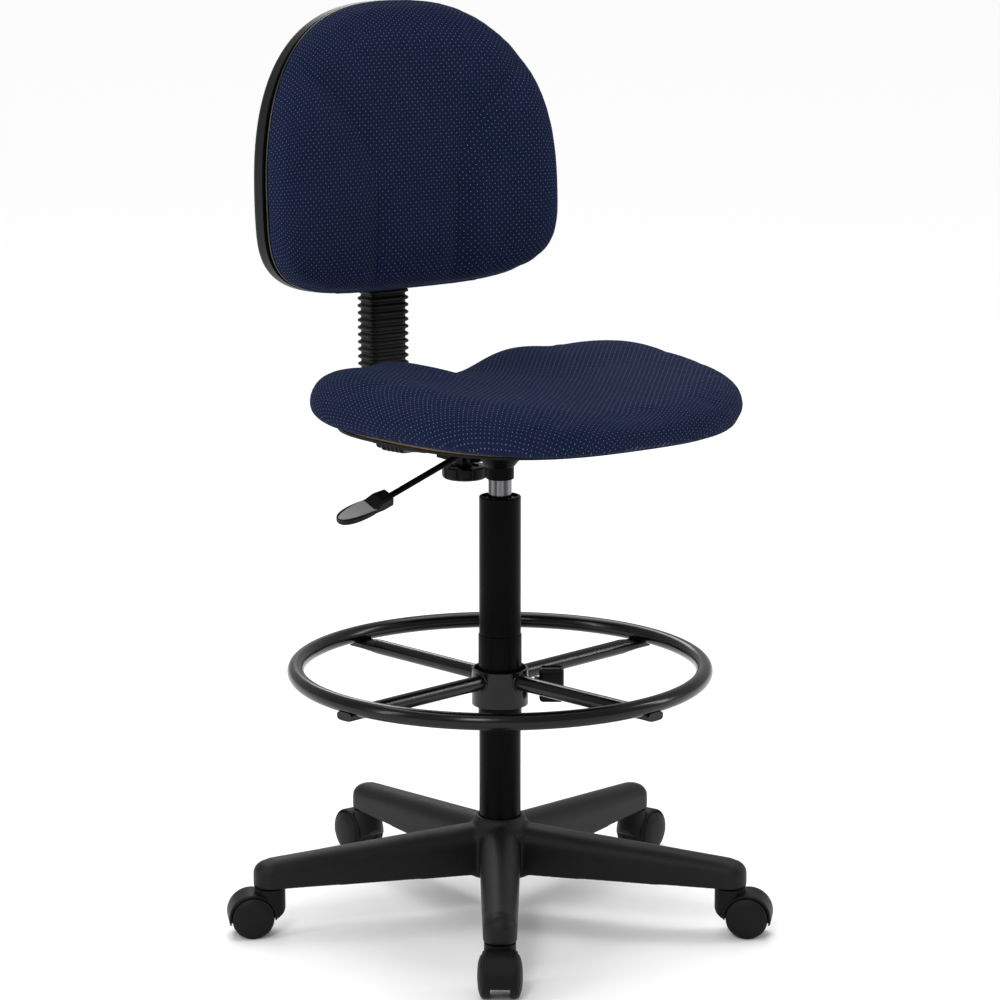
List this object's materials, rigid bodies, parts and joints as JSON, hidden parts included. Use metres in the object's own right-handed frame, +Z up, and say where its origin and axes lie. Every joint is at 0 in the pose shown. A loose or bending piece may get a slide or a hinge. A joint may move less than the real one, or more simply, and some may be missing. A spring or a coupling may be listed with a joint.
{
  "type": "drafting chair",
  "caption": "Tall swivel drafting chair: contoured fabric seat and back, gas lift column, foot ring and a star base on twin-wheel casters.",
  "frame": {"origin": "point on the floor under the column axis", "axes": "+Z up; the sitter faces -Y; +X is on the sitter's left"},
  "size_m": [0.652, 0.6307, 1.0848],
  "materials": {
    "base_nylon": "fine moulded texture",
    "caster_nylon": "moulded",
    "wheel_nylon": "satin",
    "black_steel": "satin powder coat",
    "hoop_steel": "gloss powder coat",
    "chrome_steel": "polished",
    "plain_steel": "zinc plated",
    "guide_plastic": "moulded",
    "knob_plastic": "moulded",
    "lever_plastic": "moulded",
    "inlay_plastic": "smooth",
    "boot_rubber": "satin",
    "shell_plastic": "fine moulded texture",
    "board_wood": "plain plywood",
    "seat_fabric": "woven with small pale dots"
  },
  "bodies": {
    "base": {"base_star": "base_nylon", "extension_tube": "black_steel", "extension_socket": "black_steel", "gas_outer_tube": "black_steel", "column_guide_bush": "guide_plastic", "thrust_bearing": "plain_steel"},
    "caster_1": {"caster_stem_1": "plain_steel", "caster_hood_1": "caster_nylon", "caster_axle_1": "plain_steel"},
    "wheel_left_1": {"caster_wheel_left_1": "wheel_nylon"},
    "wheel_right_1": {"caster_wheel_right_1": "wheel_nylon"},
    "caster_2": {"caster_stem_2": "plain_steel", "caster_hood_2": "caster_nylon", "caster_axle_2": "plain_steel"},
    "wheel_left_2": {"caster_wheel_left_2": "wheel_nylon"},
    "wheel_right_2": {"caster_wheel_right_2": "wheel_nylon"},
    "caster_3": {"caster_stem_3": "plain_steel", "caster_hood_3": "caster_nylon", "caster_axle_3": "plain_steel"},
    "wheel_left_3": {"caster_wheel_left_3": "wheel_nylon"},
    "wheel_right_3": {"caster_wheel_right_3": "wheel_nylon"},
    "caster_4": {"caster_stem_4": "plain_steel", "caster_hood_4": "caster_nylon", "caster_axle_4": "plain_steel"},
    "wheel_left_4": {"caster_wheel_left_4": "wheel_nylon"},
    "wheel_right_4": {"caster_wheel_right_4": "wheel_nylon"},
    "caster_5": {"caster_stem_5": "plain_steel", "caster_hood_5": "caster_nylon", "caster_axle_5": "plain_steel"},
    "wheel_left_5": {"caster_wheel_left_5": "wheel_nylon"},
    "wheel_right_5": {"caster_wheel_right_5": "wheel_nylon"},
    "ring_slider": {"ring_liner": "guide_plastic"},
    "ring": {"ring_hub": "hoop_steel", "ring_hoop": "hoop_steel", "ring_spokes": "hoop_steel"},
    "ring_clamp": {"ring_knob": "knob_plastic", "ring_knob_stud": "plain_steel"},
    "piston": {"piston_rod": "plain_steel", "retaining_clip": "plain_steel"},
    "seat": {"gas_cylinder": "chrome_steel", "taper_socket": "black_steel", "seat_plate": "black_steel", "plate_bolts": "plain_steel", "bar_channel": "black_steel", "seat_pan": "shell_plastic", "seat_board": "board_wood", "seat_cushion": "seat_fabric"},
    "button": {"release_button": "plain_steel"},
    "lever": {"lever_rod": "black_steel", "lever_handle": "lever_plastic", "lever_label": "inlay_plastic"},
    "depth_clamp": {"depth_knob": "knob_plastic", "depth_knob_screw": "plain_steel"},
    "bar": {"j_bar": "black_steel", "bellows": "boot_rubber"},
    "back": {"back_bracket": "black_steel", "back_board": "board_wood", "back_shell": "shell_plastic", "back_cushion": "seat_fabric"},
    "back_clamp": {"back_knob": "knob_plastic"}
  },
  "joints": [
    {"name": "caster_1_swivel", "type": "hinge", "parent": "base", "child": "caster_1", "pos_m": [0, 0.287, 0.059], "axis": [0, 0, 1], "continuous": true},
    {"name": "wheel_left_1_roll", "type": "hinge", "parent": "caster_1", "child": "wheel_left_1", "pos_m": [0, 0.3087, 0.025], "axis": [-1, 0, 0], "continuous": true},
    {"name": "wheel_right_1_roll", "type": "hinge", "parent": "caster_1", "child": "wheel_right_1", "pos_m": [0, 0.3087, 0.025], "axis": [-1, 0, 0], "continuous": true},
    {"name": "caster_2_swivel", "type": "hinge", "parent": "base", "child": "caster_2", "pos_m": [-0.27295, 0.08869, 0.059], "axis": [0, 0, 1], "continuous": true},
    {"name": "wheel_left_2_roll", "type": "hinge", "parent": "caster_2", "child": "wheel_left_2", "pos_m": [-0.29229, 0.09854, 0.025], "axis": [-0.454, -0.891, 0], "continuous": true},
    {"name": "wheel_right_2_roll", "type": "hinge", "parent": "caster_2", "child": "wheel_right_2", "pos_m": [-0.29229, 0.09854, 0.025], "axis": [-0.454, -0.891, 0], "continuous": true},
    {"name": "caster_3_swivel", "type": "hinge", "parent": "base", "child": "caster_3", "pos_m": [-0.16869, -0.23219, 0.059], "axis": [0, 0, 1], "continuous": true},
    {"name": "wheel_left_3_roll", "type": "hinge", "parent": "caster_3", "child": "wheel_left_3", "pos_m": [-0.18145, -0.24974, 0.025], "axis": [0.809, -0.5878, 0], "continuous": true},
    {"name": "wheel_right_3_roll", "type": "hinge", "parent": "caster_3", "child": "wheel_right_3", "pos_m": [-0.18145, -0.24974, 0.025], "axis": [0.809, -0.5878, 0], "continuous": true},
    {"name": "caster_4_swivel", "type": "hinge", "parent": "base", "child": "caster_4", "pos_m": [0.16869, -0.23219, 0.059], "axis": [0, 0, 1], "continuous": true},
    {"name": "wheel_left_4_roll", "type": "hinge", "parent": "caster_4", "child": "wheel_left_4", "pos_m": [0.18404, -0.24753, 0.025], "axis": [0.7071, 0.7071, 0], "continuous": true},
    {"name": "wheel_right_4_roll", "type": "hinge", "parent": "caster_4", "child": "wheel_right_4", "pos_m": [0.18404, -0.24753, 0.025], "axis": [0.7071, 0.7071, 0], "continuous": true},
    {"name": "caster_5_swivel", "type": "hinge", "parent": "base", "child": "caster_5", "pos_m": [0.27295, 0.08869, 0.059], "axis": [0, 0, 1], "continuous": true},
    {"name": "wheel_left_5_roll", "type": "hinge", "parent": "caster_5", "child": "wheel_left_5", "pos_m": [0.29359, 0.09539, 0.025], "axis": [-0.309, 0.9511, 0], "continuous": true},
    {"name": "wheel_right_5_roll", "type": "hinge", "parent": "caster_5", "child": "wheel_right_5", "pos_m": [0.29359, 0.09539, 0.025], "axis": [-0.309, 0.9511, 0], "continuous": true},
    {"name": "foot_ring_height", "type": "slide", "parent": "base", "child": "ring_slider", "axis": [0, 0, 1], "range_m": [-0.12, 0.15]},
    {"name": "foot_ring_turn", "type": "hinge", "parent": "ring_slider", "child": "ring", "pos_m": [0, 0, 0.28], "axis": [0, 0, 1], "continuous": true},
    {"name": "ring_knob_turn", "type": "hinge", "parent": "ring", "child": "ring_clamp", "pos_m": [0.04854, -0.03527, 0.283], "axis": [0.809, -0.5878, 0], "range_deg": [-720, 0]},
    {"name": "seat_swivel", "type": "hinge", "parent": "base", "child": "piston", "pos_m": [0, 0, 0.3], "axis": [0, 0, 1], "continuous": true},
    {"name": "gas_lift", "type": "slide", "parent": "piston", "child": "seat", "axis": [0, 0, 1], "range_m": [0, 0.114]},
    {"name": "height_lever", "type": "hinge", "parent": "seat", "child": "lever", "pos_m": [-0.04, 0, 0.5756], "axis": [0, 1, 0], "range_deg": [0, 6], "stiffness_Nm_per_rad": 20, "springref_deg": -2.86},
    {"name": "valve_button", "type": "slide", "parent": "seat", "child": "button", "axis": [0, 0, -1], "range_m": [0, 0.0043], "stiffness_N_per_m": 500, "springref_m": -0.004},
    {"name": "depth_knob_turn", "type": "hinge", "parent": "seat", "child": "depth_clamp", "pos_m": [0, 0.072, 0.53], "axis": [0, 0, 1], "range_deg": [0, 720]},
    {"name": "back_depth", "type": "slide", "parent": "seat", "child": "bar", "axis": [0, 1, 0], "range_m": [0, 0.03]},
    {"name": "back_height", "type": "slide", "parent": "bar", "child": "back", "axis": [0, 0, 1], "range_m": [-0.03, 0.05], "deforming": ["bellows"]},
    {"name": "back_knob_turn", "type": "hinge", "parent": "back", "child": "back_clamp", "pos_m": [0, 0.283, 0.806], "axis": [0, 1, 0], "range_deg": [0, 720]}
  ],
  "couplings": [
    {"joint": "valve_button", "follows": "height_lever", "m_per_rad": 0.04}
  ]
}
